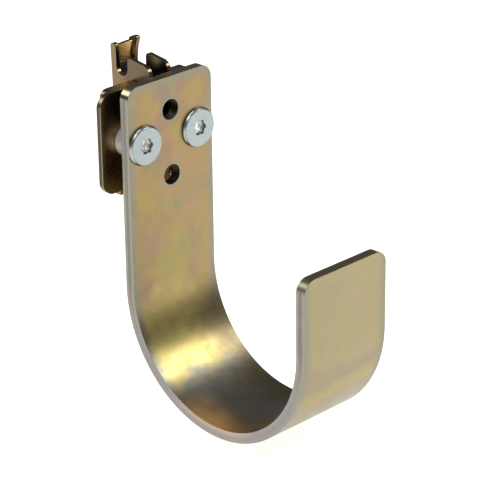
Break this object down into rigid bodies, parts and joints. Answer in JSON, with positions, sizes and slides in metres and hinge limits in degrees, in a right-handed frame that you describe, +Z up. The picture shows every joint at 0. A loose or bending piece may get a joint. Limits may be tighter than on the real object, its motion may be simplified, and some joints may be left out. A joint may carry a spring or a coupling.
{
  "type": "beam clamp hanger hook",
  "caption": "Flat-bar hanging hook on a base plate, with a sprung latch that snaps the hook into a slotted rail or beam web.",
  "frame": {"origin": "middle of the seat plane that bears on the rail, level with the hook bar's top edge, where the rail grips the fitting", "axes": "+Z up, -Y towards the hook's upturned tip, +X to the right when looking at the hook from its tip side"},
  "size_m": [0.0616, 0.1375, 0.1605],
  "materials": {
    "gold_zinc": "yellow zinc passivate, satin",
    "bright_zinc": "bright zinc",
    "spring_wire": "satin",
    "black_clip": "black oxide",
    "black_cap": "matt"
  },
  "bodies": {
    "hanger": {"hook_strap": "gold_zinc", "base_plate": "gold_zinc", "lug_housing": "gold_zinc", "flange_screw_left": "bright_zinc", "flange_screw_right": "bright_zinc", "standoff_left": "bright_zinc", "standoff_right": "bright_zinc", "clinch_nut_left": "bright_zinc", "clinch_nut_right": "bright_zinc", "foot_rivet_left": "bright_zinc", "foot_rivet_right": "bright_zinc", "guide_rod": "bright_zinc", "stop_pin": "bright_zinc", "latch_spring": "spring_wire", "pin_clip": "black_clip"},
    "latch": {"spring_latch": "gold_zinc", "spring_cap": "black_cap"}
  },
  "joints": [
    {"name": "latch_slide", "type": "slide", "parent": "hanger", "child": "latch", "axis": [0, 0, -1], "range_m": [0, 0.009], "stiffness_N_per_m": 1000, "springref_m": -0.004, "deforming": ["latch_spring"]}
  ]
}
